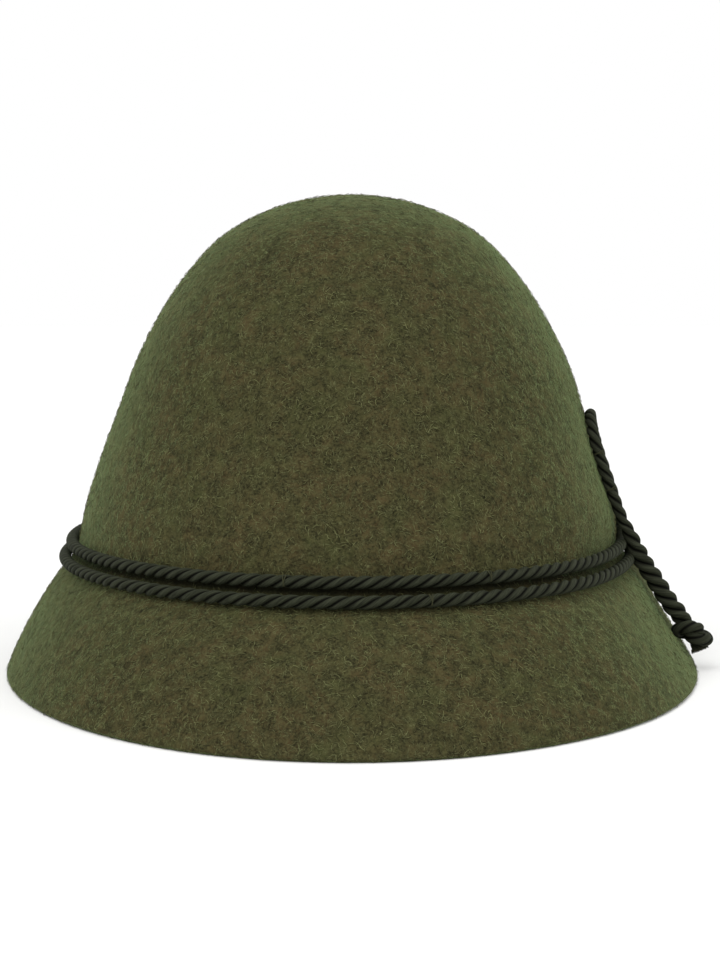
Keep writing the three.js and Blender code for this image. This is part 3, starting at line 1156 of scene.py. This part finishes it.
# %% The tree of tack stitches
def stitch_tree():
    tree, given = growing_tree("Tack stitches", [
        ("Reach", "Float"), ("Thread", "Float"), ("Sweep", "Float"), ("Material", "Material"),
    ])
    arc = add_node(tree, "GeometryNodeCurveArc", mode="RADIUS")
    wire(tree, 9, arc.inputs["Resolution"])
    wire(tree, given["Reach"], arc.inputs["Radius"])
    wire(tree, times(tree, given["Sweep"], -0.5), arc.inputs["Start Angle"])
    wire(tree, given["Sweep"], arc.inputs["Sweep Angle"])
    across = add_node(tree, "FunctionNodeAxesToRotation", primary_axis="Z", secondary_axis="X")
    wire(tree, named(tree, "cord_way", "FLOAT_VECTOR"), across.inputs[0])
    wire(tree, named(tree, "outwards", "FLOAT_VECTOR"), across.inputs[1])
    arcs = set_on_points(tree, given["Geometry"], arc.outputs["Curve"], across.outputs[0])
    thread = smooth_tube(tree, arcs, round_section(tree, 8, given["Thread"]))
    finish_tree(tree, thread, given["Material"])
    return tree


# %% Where the stitches sit
THREAD = 0.00030
STITCH_SWEEP = math.radians(105)
STITCH_SLANTS = (-0.22, 0.18)
STITCH_SPREAD = 0.0008
UPPER_STITCHES = (-0.0166, 0.0358)
LOWER_STITCHES = (0.0203,)
LOOP_STITCHES = (0.0114, 0.0224)
FORWARD = np.array((0.0, -1.0, 0.35))


def stitch_source(name, spots):
    """A vertex for each arc, with the cord's way there and the way the arc bulges."""
    places, ways, outs = [], [], []
    for line, i, out in spots:
        way = line[i + 3] - line[i - 3]
        way /= np.linalg.norm(way)
        out = out - way * np.dot(out, way)
        out /= np.linalg.norm(out)
        side = np.cross(way, out)
        for slant in STITCH_SLANTS:
            places.append(line[i] + way * slant * STITCH_SPREAD)
            ways.append(way + side * slant)
            outs.append(out)
    mesh = bpy.data.meshes.new(name)
    mesh.from_pydata([tuple(p) for p in places], [], [])
    point_values(mesh, "cord_way", ways)
    point_values(mesh, "outwards", outs)
    return mesh


def band_spots(height, sides):
    line = band_line(height + BAND_LIFT)
    front = np.where(line[:, 1] < 0)[0]
    return [(line, front[np.argmin(np.abs(line[front, 0] - side))], FORWARD) for side in sides]


# %% The stitches on the band and on the loop
spots = band_spots(BAND_HEIGHT + BAND_CORD_RISE / 2, UPPER_STITCHES)
spots += band_spots(BAND_HEIGHT - BAND_CORD_RISE / 2, LOWER_STITCHES)
loop_spots = [(whole, int(np.argmin(np.abs(run - (loop_length - at)))), FORWARD) for at in LOOP_STITCHES]
stitch_arcs = stitch_tree()
for name, where, cord_radius in (
    ("tack_stitches", spots, BAND_CORD / 2), ("loop_stitches", loop_spots, LOOP_RADIUS),
):
    stitches = grown(name, stitch_source(name, where), stitch_arcs, reach=cord_radius + THREAD / 4,
                     thread=THREAD, sweep=STITCH_SWEEP, material=thread_material)
    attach(stitches, "root")

# %% [markdown]
# ## The frayed cut end
# The cord is cut off below the knot, and its filaments have begun to spread.
# A tuft of short bristles grows out of the cut, each a little outwards.

# %% Where the bristles stand
TUFT = 420
TUFT_LENGTH = 0.0013
TUFT_THREAD = 0.00022
# how deep the bristles start in the cord, how much of the cut they fill, how far they spread
TUFT_SUNK = 0.0004
TUFT_FILL = 0.88
TUFT_SPREAD = 0.45
GOLDEN_TURN = math.pi * (3 - math.sqrt(5))


def tuft_source():
    """Points spread evenly over the cut end, with the way that each bristle grows."""
    way = whole[-1] - whole[-4]
    way /= np.linalg.norm(way)
    across = np.cross(way, (0, 1, 0))
    across /= np.linalg.norm(across)
    over = np.cross(way, across)
    number = np.arange(TUFT)
    reach = np.sqrt((number + 0.5) / TUFT)
    turn = number * GOLDEN_TURN
    flat = reach[:, None] * (np.cos(turn)[:, None] * across + np.sin(turn)[:, None] * over)
    places = whole[-1] - TUFT_SUNK * way + flat * END_RADIUS * TUFT_FILL
    mesh = bpy.data.meshes.new("tuft")
    mesh.from_pydata(places.tolist(), [], [])
    point_values(mesh, "grows", way + TUFT_SPREAD * flat * reach[:, None])
    return mesh


# %% The tuft on the cut end
def tuft_tree():
    tree, given = growing_tree("Frayed end", [
        ("Length", "Float"), ("Thickness", "Float"), ("Seed", "Int"), ("Material", "Material"),
    ])
    seed = given["Seed"]
    toned = stored(tree, given["Geometry"], "tone", random_between(tree, 0.0, 1.0, seed, 1))
    aim = add_node(tree, "FunctionNodeAlignRotationToVector", axis="Z")
    wire(tree, named(tree, "grows", "FLOAT_VECTOR"), aim.inputs["Vector"])
    spun = turned_about(tree, aim.outputs[0], (0, 0, 1), random_between(tree, 0.0, 2 * math.pi, seed, 2))
    leaning = turned_about(tree, spun, (1, 0, 0), random_between(tree, -0.3, 0.3, seed, 3))
    bristle = bowed_line(tree, 4, (0.0, 0.0, 0.0), (0.08, 0.0, 0.5), (0.0, 0.0, 1.0))
    length = times(tree, given["Length"], random_between(tree, 0.4, 1.2, seed, 4))
    lines = set_on_points(tree, toned, bristle, leaning, length)
    finish_tree(tree, tapered_fibre(tree, lines, given["Thickness"]), given["Material"])
    return tree


tuft = grown("cut_end_tuft", tuft_source(), tuft_tree(), length=TUFT_LENGTH, thickness=TUFT_THREAD,
             seed=5, material=fray_material)
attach(tuft, "root")

# %% [markdown]
# ## The hanging end
# The tail is the only part of the cord that hangs free, with the knot and the
# tuft on it.

# %% [markdown]
# ## Floor and light
# The hat stands on a pale floor that runs far back, in an even white
# surrounding. One wide soft light from above and in front gives the crown its
# gentle shading, and a weaker one from the side keeps the edges apart.

# %% Floor, surroundings and lights
FLOOR_HALF = 6.0
FLOOR_FADE = (0.35, 1.3)
BLACK = (0, 0, 0, 1)
WHITE = (1, 1, 1, 1)


def floor_piece():
    mesh = bpy.data.meshes.new("floor")
    corners = [(-FLOOR_HALF, -FLOOR_HALF, 0), (FLOOR_HALF, -FLOOR_HALF, 0),
               (FLOOR_HALF, FLOOR_HALF, 0), (-FLOOR_HALF, FLOOR_HALF, 0)]
    mesh.from_pydata(corners, [], [(0, 1, 2, 3)])
    piece = bpy.data.objects.new("floor", mesh)
    scene.collection.objects.link(piece)
    material, tree, shader = finish("pale_floor")
    place = add_node(tree, "ShaderNodeTexCoord").outputs["Object"]
    length = add_node(tree, "ShaderNodeVectorMath", operation="LENGTH")
    wire(tree, place, length.inputs[0])
    far = between(tree, length.outputs["Value"], *FLOOR_FADE)
    tone = between(tree, noise(tree, place, 9.0), 0.3, 0.7)
    pale = mixed(tree, tone, (0.80, 0.80, 0.79, 1), (0.82, 0.82, 0.81, 1))
    wire(tree, mixed(tree, far, pale, BLACK), shader.inputs["Base Color"])
    wire(tree, mixed(tree, far, BLACK, WHITE), shader.inputs["Emission Color"])
    surface(shader, {"Emission Strength": 1.0, "Roughness": 0.9})
    mesh.materials.append(material)
    return piece


def soft_light(name, place, target, size, watts):
    data = bpy.data.lights.new(name, "AREA")
    data.size = size
    data.energy = watts
    light = bpy.data.objects.new(name, data)
    light.location = place
    light.rotation_euler = (Vector(target) - Vector(place)).to_track_quat("-Z", "Y").to_euler()
    scene.collection.objects.link(light)


floor_piece()
soft_light("key_light", (-0.5, -0.9, 1.3), (0, 0, 0.06), 1.2, 14.0)
soft_light("side_light", (1.2, -0.2, 0.8), (0, 0, 0.06), 1.0, 5.0)

world = bpy.data.worlds.new("surroundings")
world.use_nodes = True
background = world.node_tree.nodes["Background"]
background.inputs["Color"].default_value = WHITE
background.inputs["Strength"].default_value = 1.0
scene.world = world
scene.view_settings.view_transform = "Standard"
